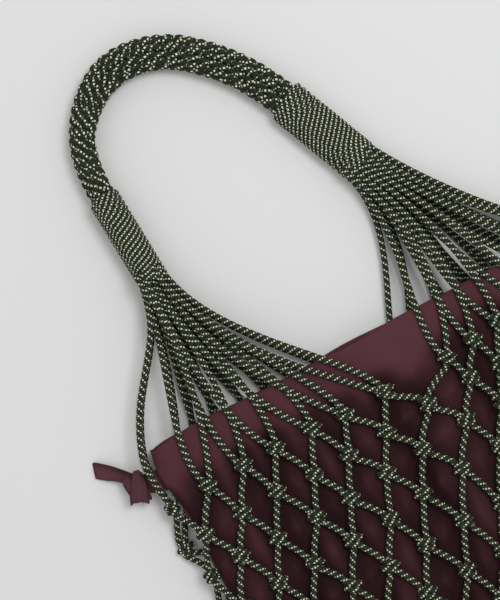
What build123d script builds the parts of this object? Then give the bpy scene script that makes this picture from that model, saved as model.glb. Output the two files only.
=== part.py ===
from build123d import *
import math
import os

os.makedirs("parts", exist_ok=True)

# A knotted net shoulder bag, lying flat on its back: the handle points to +Y, the front faces +Z.
# Every shape is first built with the pouch's mouth line on Y = 0, and moved at the end so that
# the origin is under the middle of the bag. Lengths are millimetres, angles are degrees.

# Cord and net
cord_diameter = 5.0
squeezed_cord_diameter = 3.7  # the fan cords, where the handle gathers and stretches them
mesh_width = 32.0  # between two knots of one row
meshes_across = 13
row_pitch = 29.5
row_count = 12
first_row_depth = 43.0  # the mouth line to the first row of knots
strand_spacing = 5.2  # between the two strands inside a knot
stacked_spacing = 5.8  # between strands above each other, in the side and bottom knots
cord_bend_radius = 5.0
straight_past_knot = 2.5  # the stretch of straight cord above and below each knot
cut_end_length = 10.0  # the cord ends left below the bottom knots

# Knots
knot_width = 13.0
knot_thickness = 9.0
knot_height = 9.0
bottom_knot_thickness = 14.0
knot_corner_radius = 3.0
strand_clearance = 0.15

# Pouch
pouch_half_width = 196.0
panel_thickness = 1.0
facing_thickness = 0.6
channel_height = 1.8
throat_height = 5.0  # the free gap at the mouth, between the two casings
channel_top_depth = 15.0
channel_width = 20.0
casing_wall = 1.0
seam_width = 2.0
layer_gap = 0.4  # between the pouch and the net on each side of it

# Handle
wrap_cord_thickness = 4.0
fit_gap = 0.3
end_clearance = 1.5  # between a slanting fan cord's end and the knot or wrap it meets
braid_width = 25.0
braid_thickness = 22.0
left_wrap_width = 23.0
left_wrap_thickness = 29.0
right_wrap_width = 33.0
right_wrap_thickness = 21.5
left_wrap_line = [(-137.3, 112.3), (-141.7, 184.2)]
right_wrap_line = [(41.9, 116.0), (13.0, 184.7)]
left_lead = 30.0  # the braid leaves each wrap in line with it
right_lead = 20.0
braid_corners = [(-128.0, 250.0), (-93.0, 271.0), (-50.0, 263.0), (-20.0, 237.0)]
fan_cord_pitch = 4.6
fan_entry_offset = 4.5  # of each fan cord from the middle of its knot
fan_lift_y = 8.0  # where the fan cords are highest, just above the mouth line
right_fan_lift = 2.0
side_cord_x = 204.0  # where the outermost fan cords pass the drawstring
side_cord_y = -31.5
side_cord_rise = 7.0  # above and below the pouch's middle

# Drawstring
ribbon_width = 12.0
ribbon_thickness = 1.0
ribbon_depth = 25.0  # the mouth line to the ribbon's middle
ribbon_turn_reach = 190.0
casing_end_gap = 1.0  # from the casing to the turn of the ribbon
drawstring_knot_centre_x = -218.0
drawstring_knot_size = (16.0, 24.0, 16.0)
drawstring_knot_centre_y = -22.0
drawstring_knot_centre_z = 12.8
drawstring_knot_radius = 5.0
tail_length = 26.0
tail_direction = 127.0  # from +X, anticlockwise
tail_start_y = -14.0
upper_tail_heights = (8.5, 3.6)  # the middle of the strip at the knot and at its end
lower_tail_heights = (6.5, 1.4)
tail_thickness = 1.4

# Heights of the layers above the surface that the bag lies on
half_mesh = mesh_width / 2
half_net_width = mesh_width * meshes_across / 2
back_cord_z = knot_thickness / 2
pouch_bottom_z = knot_thickness + layer_gap
wall_stack = panel_thickness + channel_height + facing_thickness
pouch_thickness = 2 * wall_stack + throat_height
pouch_top_z = pouch_bottom_z + pouch_thickness
pouch_middle_z = pouch_bottom_z + pouch_thickness / 2
front_cord_z = pouch_top_z + layer_gap + knot_thickness / 2
strands_around = 4 * meshes_across
side_index = 2 * meshes_across
side_knot_x = half_net_width - 2.0
pouch_depth = first_row_depth + (row_count - 2) * row_pitch

parts = {}


def row_y(row):
    return -first_row_depth - (row - 1) * row_pitch


def knot_x(index):
    """Knots are counted round the net in half meshes: from the left side over the front and back."""
    index = index % strands_around
    if index == 0:
        return -side_knot_x
    if index == side_index:
        return side_knot_x
    if index > side_index:
        index = strands_around - index
    return -half_net_width + index * half_mesh


def is_side(index):
    return index % side_index == 0


def cord_knot(cord, row):
    """The half-mesh index of the knot that a cord passes in a row, and the side it passes on."""
    index_is_odd = row % 2 == 0
    if (cord % 2 == 1) == index_is_odd:
        return cord, 1
    return cord + 1, -1


def strand_place(cord, row):
    """The X and Z of a cord inside its knot of one row."""
    index, side = cord_knot(cord, row)
    on_front = cord < side_index
    half = stacked_spacing / 2
    if is_side(index):
        return knot_x(index), pouch_middle_z + (half if on_front else -half)
    direction = side if on_front else -side
    x = knot_x(index) + direction * strand_spacing / 2
    if row == row_count:
        return x, bottom_knot_thickness / 2 + (half if on_front else -half)
    return x, front_cord_z if on_front else back_cord_z


def round_cord(points, diameter, radii):
    """A cord of straight runs joined by tangent arcs."""
    if len(points) > 2:
        path = FilletPolyline(*points, radius=radii)
    else:
        path = Line(*points)
    section = Plane(origin=path @ 0, z_dir=path % 0) * Circle(diameter / 2)
    return sweep(section, path=path)


def net_cord(cord):
    """One cord of the net, zigzag from its first knot to its cut end below the bottom."""
    points = []
    for row in range(1, row_count + 1):
        x, z = strand_place(cord, row)
        reach = knot_height / 2 + straight_past_knot
        points.append((x, row_y(row) + reach, z))
        points.append((x, row_y(row) - reach, z))
    x, _, z = points.pop(0)
    points[0] = (x, row_y(1) + knot_height / 2, z)
    points.insert(1, (x, row_y(1) - reach, z))
    x, _, z = points.pop()
    points.append((x, row_y(row_count) - knot_height / 2 - cut_end_length, z))
    return round_cord(points, cord_diameter, cord_bend_radius)


def knot_ring(width, thickness, hole_width, hole_thickness):
    """A knot as a short sleeve round its strands, along Y."""
    outline = RectangleRounded(width, thickness, knot_corner_radius)
    hole_radius = cord_diameter / 2
    outline -= RectangleRounded(hole_width, hole_thickness, hole_radius)
    ring = extrude(outline, amount=knot_height / 2, both=True)
    return Rot(90, 0, 0) * ring


def knot_row(row):
    """All the knots of one row, on the front, the back and, in odd rows, at both sides."""
    hole_short = cord_diameter + 2 * strand_clearance
    hole_long = strand_spacing + hole_short
    hole_stacked = stacked_spacing + hole_short
    plain = knot_ring(knot_width, knot_thickness, hole_long, hole_short)
    side = Rot(0, 90, 0) * knot_ring(knot_width, knot_thickness, hole_stacked, hole_short)
    knots = []
    if row == row_count:
        bottom = knot_ring(knot_width, bottom_knot_thickness, hole_long, hole_stacked)
        for index in range(1, side_index, 2):
            place = Pos(knot_x(index), row_y(row), bottom_knot_thickness / 2)
            knots.append(place * bottom)
        return knots
    first_index = 0 if row % 2 == 1 else 1
    for index in range(first_index, strands_around, 2):
        if is_side(index):
            knots.append(Pos(knot_x(index), row_y(row), pouch_middle_z) * side)
        else:
            height = front_cord_z if index < side_index else back_cord_z
            knots.append(Pos(knot_x(index), row_y(row), height) * plain)
    return knots


def wrap_direction(line):
    return (Vector(*line[1], 0) - Vector(*line[0], 0)).normalized()


def fan_slot(order, columns, wrap_line, middle_z, upward):
    """The place of a cord in the bundle that leaves the wrap, counted from the left."""
    cords_in_fan = meshes_across
    column = order * columns // cords_in_fan
    first_in_column = math.ceil(column * cords_in_fan / columns)
    level = order - first_in_column + 0.5
    along = wrap_direction(wrap_line)
    across = Vector(along.Y, -along.X, 0) * (column - (columns - 1) / 2) * fan_cord_pitch
    height = middle_z + (level if upward else -level) * fan_cord_pitch
    return Vector(*wrap_line[0], height) + across - along * end_clearance


def fan(first_cord, columns, wrap_line, middle_z, lift):
    """The 13 cords from one handle wrap to the first knots of one face."""
    on_front = first_cord < side_index
    cords = []
    for step in range(meshes_across):
        cord = first_cord + step
        order = step if on_front else meshes_across - 1 - step
        index, side = cord_knot(cord, 1)
        x, z = strand_place(cord, 1)
        if not is_side(index):
            x = knot_x(index) + (side if on_front else -side) * fan_entry_offset
        start = fan_slot(order, columns, wrap_line, middle_z, on_front)
        end = Vector(x, row_y(1) + knot_height / 2 + end_clearance, z)
        points = [start, end]
        share = (start.Y - fan_lift_y) / (start.Y - end.Y)
        via = start + (end - start) * share
        if is_side(index):
            rise = side_cord_rise if on_front else -side_cord_rise
            beside_ribbon = (math.copysign(side_cord_x, x), side_cord_y, pouch_middle_z + rise)
            face_z = front_cord_z if on_front else back_cord_z
            points[1:1] = [(via.X, via.Y, face_z), beside_ribbon]
        elif lift:
            points.insert(1, via + Vector(0, 0, lift))
        cords.append(round_cord(points, squeezed_cord_diameter, cord_bend_radius))
    return cords


def oval_rod(line, width, thickness, middle_z):
    """A straight oval rod between two points of the handle's middle line."""
    start = Vector(line[0][0], line[0][1], middle_z)
    end = Vector(line[1][0], line[1][1], middle_z)
    plane = Plane(origin=start, x_dir=(0, 0, 1), z_dir=end - start)
    return extrude(plane * Ellipse(thickness / 2, width / 2), amount=(end - start).length)


def wrap_sleeve(line, width, thickness, middle_z):
    """The whipping round the gathered cords: a hollow oval sleeve."""
    hole_width = width - 2 * wrap_cord_thickness
    hole_thickness = thickness - 2 * wrap_cord_thickness
    sleeve = oval_rod(line, width, thickness, middle_z)
    return sleeve - oval_rod(line, hole_width, hole_thickness, middle_z)


def gathered_cords(line, width, thickness, middle_z):
    """The bundle of fan cords that the whipping holds."""
    inset = 2 * (wrap_cord_thickness + fit_gap / 2)
    return oval_rod(line, width - inset, thickness - inset, middle_z)


def corner_radii(points):
    """The largest easy radius at each corner: 0.45 of its shorter run, over tan of half the turn."""
    radii = []
    for before, corner, after in zip(points, points[1:], points[2:]):
        run_in = corner - before
        run_out = after - corner
        half_turn = math.radians(run_in.get_angle(run_out) / 2)
        radii.append(0.45 * min(run_in.length, run_out.length) / math.tan(half_turn))
    return radii


def handle_braid():
    """The thick plaited grip between the two wraps."""
    height = braid_thickness / 2
    left_top = Vector(*left_wrap_line[1], height)
    left_way = wrap_direction(left_wrap_line)
    right_top = Vector(*right_wrap_line[1], height)
    right_way = wrap_direction(right_wrap_line)
    points = [left_top + left_way * fit_gap, left_top + left_way * left_lead]
    points += [Vector(x, y, height) for x, y in braid_corners]
    points += [right_top + right_way * right_lead, right_top + right_way * fit_gap]
    radii = corner_radii(points)
    print("braid bend radii", [round(radius) for radius in radii])
    path = FilletPolyline(*points, radius=radii)
    plane = Plane(origin=path @ 0, x_dir=(0, 0, 1), z_dir=path % 0)
    return sweep(plane * Ellipse(braid_thickness / 2, braid_width / 2), path=path)


def block(x_span, y_span, z_span):
    """A plain block between three pairs of limits."""
    size = [high - low for low, high in (x_span, y_span, z_span)]
    centre = [(high + low) / 2 for low, high in (x_span, y_span, z_span)]
    return Pos(*centre) * Box(*size)


def casing(on_front):
    """The folded hem that makes the drawstring's channel, on the inner face of one panel."""
    x_span = (-pouch_half_width + seam_width, ribbon_turn_reach - casing_end_gap)
    top_y = -channel_top_depth
    bottom_y = top_y - channel_width
    depth = channel_height + facing_thickness
    if on_front:
        outer_z = pouch_top_z - panel_thickness
        z_span = (outer_z - depth, outer_z)
        channel_span = (outer_z - channel_height, outer_z)
    else:
        outer_z = pouch_bottom_z + panel_thickness
        z_span = (outer_z, outer_z + depth)
        channel_span = (outer_z, outer_z + channel_height)
    body = block(x_span, (bottom_y - casing_wall, top_y + casing_wall), z_span)
    return body - block(x_span, (bottom_y, top_y), channel_span)


def side_seam(x_side):
    """A side seam of the pouch, from the bottom seam up to the mouth."""
    x_span = sorted((x_side * pouch_half_width, x_side * (pouch_half_width - seam_width)))
    z_span = (pouch_bottom_z + panel_thickness, pouch_top_z - panel_thickness)
    return block(x_span, (-pouch_depth + seam_width, 0), z_span)


def ribbon_run(height, x_span):
    """A straight stretch of the drawstring, flat in its channel."""
    y_span = (-ribbon_depth - ribbon_width / 2, -ribbon_depth + ribbon_width / 2)
    return block(x_span, y_span, (height - ribbon_thickness / 2, height + ribbon_thickness / 2))


def tail(heights):
    """A free end of the drawstring, from the knot outwards and down to the surface."""
    angle = math.radians(tail_direction)
    knot_side = drawstring_knot_centre_x - drawstring_knot_size[0] / 2 - fit_gap
    start = Vector(knot_side, tail_start_y, heights[0])
    flat_way = Vector(math.cos(angle), math.sin(angle), 0) * tail_length
    end = start + flat_way + Vector(0, 0, heights[1] - heights[0])
    plane = Plane(origin=start, x_dir=(math.sin(angle), -math.cos(angle), 0), z_dir=end - start)
    strip = extrude(plane * Rectangle(ribbon_width, tail_thickness), amount=(end - start).length)
    reach = tail_length * 2
    return strip & block((knot_side - reach, knot_side), (-reach, reach), (0, pouch_top_z))


# Net: 26 pairs of cords and 12 rows of knots
for pair in range(strands_around // 2):
    parts[f"net_cord_pair_{pair + 1:02d}"] = [net_cord(2 * pair), net_cord(2 * pair + 1)]
for row in range(1, row_count):
    parts[f"knot_row_{row:02d}"] = knot_row(row)
parts["bottom_knots"] = knot_row(row_count)

# Fans of cord between the net and the handle
left_middle_z = left_wrap_thickness / 2
right_middle_z = right_wrap_thickness / 2
left_columns = 5
right_columns = 7
back_right = side_index
back_left = side_index + meshes_across
parts["left_fan_front"] = fan(0, left_columns, left_wrap_line, left_middle_z, 0)
parts["left_fan_back"] = fan(back_left, left_columns, left_wrap_line, left_middle_z, 0)
parts["right_fan_front"] = fan(
    meshes_across, right_columns, right_wrap_line, right_middle_z, right_fan_lift
)
parts["right_fan_back"] = fan(back_right, right_columns, right_wrap_line, right_middle_z, 0)

# Handle
left_oval = (left_wrap_line, left_wrap_width, left_wrap_thickness, left_middle_z)
right_oval = (right_wrap_line, right_wrap_width, right_wrap_thickness, right_middle_z)
parts["handle_braid"] = [handle_braid()]
parts["left_wrap"] = [wrap_sleeve(*left_oval)]
parts["right_wrap"] = [wrap_sleeve(*right_oval)]
parts["left_gathered_cords"] = [gathered_cords(*left_oval)]
parts["right_gathered_cords"] = [gathered_cords(*right_oval)]

# Pouch
full_x = (-pouch_half_width, pouch_half_width)
full_y = (-pouch_depth, 0)
parts["pouch_back_panel"] = [block(full_x, full_y, (pouch_bottom_z, pouch_bottom_z + panel_thickness))]
parts["pouch_front_panel"] = [block(full_x, full_y, (pouch_top_z - panel_thickness, pouch_top_z))]
parts["pouch_back_casing"] = [casing(False)]
parts["pouch_front_casing"] = [casing(True)]
slit = block(
    (-pouch_half_width - seam_width, -pouch_half_width + 2 * seam_width),
    (-channel_top_depth - channel_width, -channel_top_depth),
    (pouch_bottom_z + panel_thickness, pouch_top_z - panel_thickness),
)
parts["pouch_left_seam"] = list((side_seam(-1) - slit).solids())
parts["pouch_right_seam"] = [side_seam(1)]
parts["pouch_bottom_seam"] = [
    block(full_x, (-pouch_depth, -pouch_depth + seam_width),
          (pouch_bottom_z + panel_thickness, pouch_top_z - panel_thickness))
]

# Drawstring: two runs in the channels, the turn at the right, the knot and its two tails
low_run_z = pouch_bottom_z + panel_thickness + channel_height / 2
high_run_z = pouch_top_z - panel_thickness - channel_height / 2
run_start_x = drawstring_knot_centre_x + drawstring_knot_size[0] / 2 + fit_gap
turn_x = ribbon_turn_reach - fit_gap
parts["drawstring_back_run"] = [ribbon_run(low_run_z, (run_start_x, turn_x))]
parts["drawstring_front_run"] = [ribbon_run(high_run_z, (run_start_x, turn_x))]
turn_thickness = (-ribbon_thickness / 2, ribbon_thickness / 2)
turn_end_x = ribbon_turn_reach + ribbon_thickness
turn_y = (-ribbon_depth - ribbon_width / 2, -ribbon_depth + ribbon_width / 2)
turn_z = (low_run_z + turn_thickness[0], high_run_z + turn_thickness[1])
parts["drawstring_turn"] = [block((ribbon_turn_reach, turn_end_x), turn_y, turn_z)]
knot_block = fillet(Box(*drawstring_knot_size).edges(), drawstring_knot_radius)
parts["drawstring_knot"] = [
    Pos(drawstring_knot_centre_x, drawstring_knot_centre_y, drawstring_knot_centre_z) * knot_block
]
parts["drawstring_upper_tail"] = [tail(upper_tail_heights)]
parts["drawstring_lower_tail"] = [tail(lower_tail_heights)]

# The origin goes under the middle of the bag, measured without the drawstring's knot and tails
outside_frame = ("drawstring_knot", "drawstring_upper_tail", "drawstring_lower_tail")
in_frame = [solid for name, group in parts.items() if name not in outside_frame for solid in group]
frame_box = Compound(children=[Solid(solid.solid().wrapped) for solid in in_frame]).bounding_box()
centre = frame_box.center()
to_origin = Pos(-centre.X, -centre.Y, -frame_box.min.Z)
print("mouth line at Y", -centre.Y, "X shift", -centre.X, "box", frame_box.size)

for name, group in parts.items():
    moved = [(to_origin * solid).solid() for solid in group]
    export_step(moved[0] if len(moved) == 1 else Compound(children=moved), f"parts/{name}.step")
print(len(parts), "parts")
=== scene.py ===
import random
from math import atan2, ceil, copysign, cos, exp, hypot, pi, radians, sin, sqrt, tan

import bpy
import numpy as np
from mathutils import Matrix, Vector
from mathutils.kdtree import KDTree


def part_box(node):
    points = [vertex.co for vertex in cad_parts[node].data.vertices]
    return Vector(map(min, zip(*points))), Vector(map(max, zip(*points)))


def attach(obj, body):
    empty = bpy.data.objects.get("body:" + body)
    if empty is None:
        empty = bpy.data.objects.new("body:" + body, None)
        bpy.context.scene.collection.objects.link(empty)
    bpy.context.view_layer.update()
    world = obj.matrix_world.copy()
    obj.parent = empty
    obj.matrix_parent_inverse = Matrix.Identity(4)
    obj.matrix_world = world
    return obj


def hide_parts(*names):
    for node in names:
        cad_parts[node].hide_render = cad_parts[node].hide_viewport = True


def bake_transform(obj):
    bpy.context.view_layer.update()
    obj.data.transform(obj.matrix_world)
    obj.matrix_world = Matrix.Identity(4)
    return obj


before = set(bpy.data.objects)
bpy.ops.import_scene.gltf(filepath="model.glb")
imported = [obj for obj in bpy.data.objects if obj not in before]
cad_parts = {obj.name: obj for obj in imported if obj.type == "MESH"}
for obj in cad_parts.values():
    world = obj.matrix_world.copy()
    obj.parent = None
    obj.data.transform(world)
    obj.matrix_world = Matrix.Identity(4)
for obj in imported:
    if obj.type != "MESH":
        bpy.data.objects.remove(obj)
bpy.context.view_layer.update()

# A knotted net shoulder bag lying flat: the handle points to +Y and the front faces +Z. Shapes are
# worked out in millimetres with the pouch's mouth line on Y = 0, and put_in_frame() places them.
MM = 0.001
TURN = 2 * pi
mouth_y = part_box("pouch_front_panel")[1].y
random.seed(11)

# Cord and net
cord_diameter = 4.7
mesh_width = 32.0
meshes_across = 13
row_pitch = 29.5
row_count = 12
first_row_depth = 43.0
cut_end_length = 10.0
half_mesh = mesh_width / 2
half_net_width = mesh_width * meshes_across / 2
strands_around = 4 * meshes_across
side_index = 2 * meshes_across

# Pouch
pouch_half_width = 196.0
pouch_depth = first_row_depth + (row_count - 2) * row_pitch
cloth_thickness = 0.9
# An even level of painted light and shade, for cloth that gets no painted light or shade of its own
plain_tone = 0.75

# Handle: each wrap's lower and upper end, its width and height, and how far the grip runs straight on
left_wrap_line = [(-137.3, 112.3), (-141.7, 184.2)]
right_wrap_line = [(41.9, 116.0), (13.0, 184.7)]
left_wrap_size = (25.0, 29.0)
right_wrap_size = (34.0, 21.5)
left_lead = 30.0
right_lead = 20.0
grip_corners = [(-124.5, 248.0), (-91.0, 268.5), (-50.0, 261.5), (-19.5, 236.0)]

# Heights of the layers above the floor
back_cord_z = 4.6
front_cord_z = 26.1
pouch_middle_z = 15.3

upward = np.array([0.0, 0.0, 1.0])


def put_in_frame(points):
    """Millimetre points with the mouth line on Y = 0, as metres in the frame."""
    placed = np.asarray(points, float) * MM
    placed[:, 1] += mouth_y
    return placed


# ---------- materials


def set_inputs(node, values):
    """Sets a node's sockets by their names."""
    for name, value in values.items():
        node.inputs[name].default_value = value


def new_material(name, colour, roughness, specular=0.3):
    """A material with one Principled shader, its colour and roughness set on the shader itself."""
    material = bpy.data.materials.new(name)
    material.use_nodes = True
    shader = material.node_tree.nodes["Principled BSDF"]
    set_inputs(shader, {"Base Color": (*colour, 1), "Roughness": roughness, "Specular IOR Level": specular})
    return material, shader


def add_bump(material, shader, height, strength, distance):
    """Drives the shader's normal from a height."""
    bump = material.node_tree.nodes.new("ShaderNodeBump")
    set_inputs(bump, {"Strength": strength, "Distance": distance})
    material.node_tree.links.new(height, bump.inputs["Height"])
    material.node_tree.links.new(bump.outputs["Normal"], shader.inputs["Normal"])


def noise(material, scale, detail=3.0):
    """Noise in the object's own space, as a node."""
    nodes = material.node_tree.nodes
    place = nodes.new("ShaderNodeTexCoord")
    texture = nodes.new("ShaderNodeTexNoise")
    set_inputs(texture, {"Scale": scale, "Detail": detail})
    material.node_tree.links.new(place.outputs["Object"], texture.inputs["Vector"])
    return texture


def yarn_material(name, colour, roughness=0.75):
    """Braided polyester yarn, with the fine unevenness of its filaments."""
    material, shader = new_material(name, colour, roughness, 0.2)
    fibres = noise(material, 1600.0)
    add_bump(material, shader, fibres.outputs["Fac"], 0.5, 0.0003)
    return material


def cloth_material(name, dark, light):
    """Plain-woven cloth: a dark and a light colour, mixed at each point by the mesh's painted light and
    shade and drifting into each other at random, and a fine weave.
    """
    material, shader = new_material(name, light, 0.8, 0.15)
    set_inputs(shader, {"Sheen Weight": 0.05, "Sheen Tint": (0.9, 0.55, 0.62, 1)})
    nodes = material.node_tree.nodes
    links = material.node_tree.links
    drift = noise(material, 28.0, 4.0)
    spread = nodes.new("ShaderNodeMapRange")
    set_inputs(spread, {"To Min": -0.18, "To Max": 0.18})
    links.new(drift.outputs["Fac"], spread.inputs["Value"])
    # Painted light and shade: a value on the mesh moves the colour towards the dark, shaded end or the
    # light, lit end.
    painted_shading_node = nodes.new("ShaderNodeAttribute")
    painted_shading_node.attribute_name = "painted_shading"
    total = nodes.new("ShaderNodeMath")
    links.new(painted_shading_node.outputs["Fac"], total.inputs[0])
    links.new(spread.outputs["Result"], total.inputs[1])
    ramp = nodes.new("ShaderNodeValToRGB")
    ramp.color_ramp.elements[0].color = (*dark, 1)
    ramp.color_ramp.elements[1].color = (*light, 1)
    links.new(total.outputs["Value"], ramp.inputs["Fac"])
    links.new(ramp.outputs["Color"], shader.inputs["Base Color"])
    weave = noise(material, 900.0, 2.0)
    add_bump(material, shader, weave.outputs["Fac"], 0.25, 0.0003)
    return material


cord_materials = [
    yarn_material("dark_green_yarn", (0.008, 0.011, 0.005)),
    yarn_material("green_yarn", (0.025, 0.033, 0.014)),
    yarn_material("cream_yarn", (0.68, 0.71, 0.55), 0.6),
]
# The dark colour of each cloth is its painted shade, the light one its colour where it is lit.
pouch_cloth = cloth_material("plum_cloth", (0.0165, 0.0035, 0.0053), (0.094, 0.030, 0.040))
ribbon_cloth = cloth_material("plum_ribbon", (0.030, 0.011, 0.015), (0.100, 0.037, 0.048))


# ---------- meshes


def add_object(name, data):
    """A new object in the scene."""
    added = bpy.data.objects.new(name, data)
    bpy.context.scene.collection.objects.link(added)
    return added


def make_piece(name, points, groups, materials, nodes, body="bag", painted_shading=None):
    """A mesh from millimetre points and groups of equal-sided faces with their material numbers.
    Tone is the painted light and shade in the cloth's colour at each point. Cords have none."""
    corners = np.concatenate([faces.ravel() for faces, _ in groups])
    sides = np.concatenate([np.full(len(faces), faces.shape[1]) for faces, _ in groups])
    marks = np.concatenate([mark for _, mark in groups])
    mesh = bpy.data.meshes.new(name)
    mesh.vertices.add(len(points))
    mesh.vertices.foreach_set("co", put_in_frame(points).ravel())
    mesh.loops.add(len(corners))
    mesh.loops.foreach_set("vertex_index", corners.astype(np.int32))
    mesh.polygons.add(len(sides))
    starts = np.concatenate([[0], np.cumsum(sides)[:-1]])
    mesh.polygons.foreach_set("loop_start", starts.astype(np.int32))
    mesh.polygons.foreach_set("material_index", marks.astype(np.int32))
    mesh.polygons.foreach_set("use_smooth", np.ones(len(sides), bool))
    mesh.update(calc_edges=True)
    mesh.validate()
    if materials != cord_materials:
        shade = mesh.attributes.new("painted_shading", "FLOAT", "POINT")
        shade.data.foreach_set("value", np.full(len(points), plain_tone) if painted_shading is None else painted_shading)
    for material in materials:
        mesh.materials.append(material)
    piece = add_object(name, mesh)
    if body:
        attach(piece, body)
    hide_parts(*nodes)
    return piece


def smooth_line(points, per_span=10):
    """A smooth line through points, dense enough to follow."""
    points = np.asarray(points, float)
    before = np.vstack([2 * points[0] - points[1], points[:-1]])
    after = np.vstack([points[1:], 2 * points[-1] - points[-2]])
    slope = (after - before) / 2
    t = np.linspace(0, 1, per_span, endpoint=False)[:, None]
    spans = []
    for start, end, leave, arrive in zip(points, points[1:], slope, slope[1:]):
        spans.append(
            start * (2 * t**3 - 3 * t**2 + 1) + end * (3 * t**2 - 2 * t**3)
            + leave * (t**3 - 2 * t**2 + t) + arrive * (t**3 - t**2)
        )
    return np.vstack([*spans, points[-1:]])


def bezier_line(start, leave, arrive, end, count=40):
    """A cubic curve between two points, given its two handles."""
    t = np.linspace(0, 1, count)[:, None]
    return (
        (1 - t) ** 3 * np.asarray(start) + 3 * t * (1 - t) ** 2 * np.asarray(leave)
        + 3 * t**2 * (1 - t) * np.asarray(arrive) + t**3 * np.asarray(end)
    )


def rounded_route(points, count=24):
    """A smooth line that turns inside the corners of a route, from its first point to its last."""
    points = np.asarray(points, float)
    joints = [points[0], *((points[1:-2] + points[2:-1]) / 2), points[-1]]
    t = np.linspace(0, 1, count, endpoint=False)[:, None]
    spans = []
    for start, corner, end in zip(joints, points[1:-1], joints[1:]):
        spans.append((1 - t) ** 2 * start + 2 * t * (1 - t) * corner + t**2 * end)
    return np.vstack([*spans, points[-1:]])


def lengths_along(line):
    """How far along a line each of its points is."""
    return np.concatenate([[0], np.cumsum(np.linalg.norm(np.diff(line, axis=0), axis=1))])


def points_at(places, lengths, line):
    """The points of a line at some distances along it."""
    return np.column_stack([np.interp(places, lengths, line[:, axis]) for axis in range(3)])


def unit(vectors):
    """The same directions, each of length 1."""
    return vectors / np.linalg.norm(vectors, axis=1)[:, None]


def bell(t):
    """A smooth bump, 1 at 0."""
    return np.exp(-(t**2))


def resample(line, step, closed):
    """The line as evenly spaced points: an odd number of them, or an even one on a closed line."""
    if closed:
        line = np.vstack([line, line[:1]])
    lengths = lengths_along(line)
    count = 2 * max(3, round(lengths[-1] / step / 2))
    even = points_at(np.linspace(0, lengths[-1], count + 1), lengths, line)
    return even[:-1] if closed else even


smallest_turn = 1e-12


def carried_frames(line, closed):
    """Two directions across the line at each point, carried along it without twist."""
    ahead = np.roll(line, -1, axis=0)
    behind = np.roll(line, 1, axis=0)
    if not closed:
        ahead[-1] = line[-1]
        behind[0] = line[0]
    tangent = unit(ahead - behind)
    seed = upward if abs(tangent[0, 2]) < 0.9 else np.array([1.0, 0.0, 0.0])
    side = np.empty_like(line)
    current = np.cross(tangent[0], seed)
    current /= sqrt(current @ current)
    side[0] = current
    steps = np.diff(line, axis=0)
    for i in range(len(line) - 1):
        step = steps[i]
        reach = step @ step
        turned = current - step * (2 * (step @ current) / reach)
        carried = tangent[i] - step * (2 * (step @ tangent[i]) / reach)
        rest = tangent[i + 1] - carried
        size = rest @ rest
        current = turned - rest * (2 * (rest @ turned) / size) if size > smallest_turn else turned
        side[i + 1] = current
    up = np.cross(tangent, side)
    if closed:
        last = current - tangent[0] * (tangent[0] @ current)
        miss = atan2(last @ up[0], last @ side[0])
        angle = -miss * np.arange(len(line)) / len(line)
        turned_side = side * np.cos(angle)[:, None] + up * np.sin(angle)[:, None]
        up = np.cross(tangent, turned_side)
        side = turned_side
    return side, up


picks_around = 8
pick_rows_step = 0.68
cream_every = 4
dark_mark, green_mark, cream_mark = range(len(cord_materials))


class BraidedCords:
    """Braided cords, gathered as one mesh. Each face is one pick of the braid."""

    def __init__(self, picks=picks_around, every=cream_every):
        """Picks is the number of picks round a cord. Every so many of the green ones is cream."""
        self.picks = picks
        self.every = every
        self.points = []
        self.quads = []
        self.quad_marks = []
        self.tris = []
        self.count = 0

    def add(self, line, diameter=cord_diameter, closed=False, step=pick_rows_step):
        """Adds one cord along a line of points. Step is how far apart its rows of picks are."""
        line = resample(np.asarray(line, float), step, closed)
        side, up = carried_frames(line, closed)
        rings = len(line)
        ring = np.arange(rings)
        pick = np.arange(self.picks)
        start = random.uniform(0, TURN)
        angle = (pick[None, :] + 0.5 * (ring[:, None] % 2)) * (TURN / self.picks) + start
        radius = diameter / 2
        skin = line[:, None, :] + radius * (
            np.cos(angle)[..., None] * side[:, None, :] + np.sin(angle)[..., None] * up[:, None, :]
        )
        number = self.count + np.arange(rings * self.picks).reshape(rings, self.picks)
        following = np.roll(number, -1, axis=1)
        middle = ring if closed else ring[1:-1]
        odd = (middle % 2 == 1)[:, None]
        below = np.where(odd, following[middle - 1], number[middle - 1])
        above = (middle + 1) % rings
        top = np.where(odd, following[above], number[above])
        quads = np.stack([below, following[middle], top, number[middle]], -1)
        shift = random.randrange(self.every)
        yarn = (pick[None, :] + (middle[:, None] - 1) // 2 + shift) % self.every
        marks = np.where(odd, np.where(yarn == 0, cream_mark, green_mark), dark_mark)
        self.points.append(skin.reshape(-1, 3))
        self.quads.append(quads.reshape(-1, 4))
        self.quad_marks.append(marks.ravel())
        self.count += rings * self.picks
        if not closed:
            self.close_ends(line, number, following)

    def close_ends(self, line, number, following):
        """Fills the last half picks and caps both ends of an open cord."""
        self.points.append(line[[0, -1]])
        first = np.full(self.picks, self.count)
        last = first + 1
        beyond = np.roll(following[-1], -1)
        self.tris += [
            np.stack([number[0], following[0], number[1]], -1),
            np.stack([following[-2], beyond, following[-1]], -1),
            np.stack([first, following[0], number[0]], -1),
            np.stack([last, number[-1], following[-1]], -1),
        ]
        self.count += 2

    def finish(self, name, nodes, body="bag"):
        """Makes the piece from all the cords."""
        groups = [(np.vstack(self.quads), np.concatenate(self.quad_marks))]
        if self.tris:
            tris = np.vstack(self.tris)
            groups.append((tris, np.full(len(tris), dark_mark)))
        return make_piece(name, np.vstack(self.points), groups, cord_materials, nodes, body)


# ---------- the net's knots and how they lie


def cord_knot(cord, row):
    """The half-mesh index of the knot that a cord passes in a row, and the side it passes on."""
    index_is_odd = row % 2 == 0
    if (cord % 2 == 1) == index_is_odd:
        return cord, 1
    return cord + 1, -1


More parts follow.
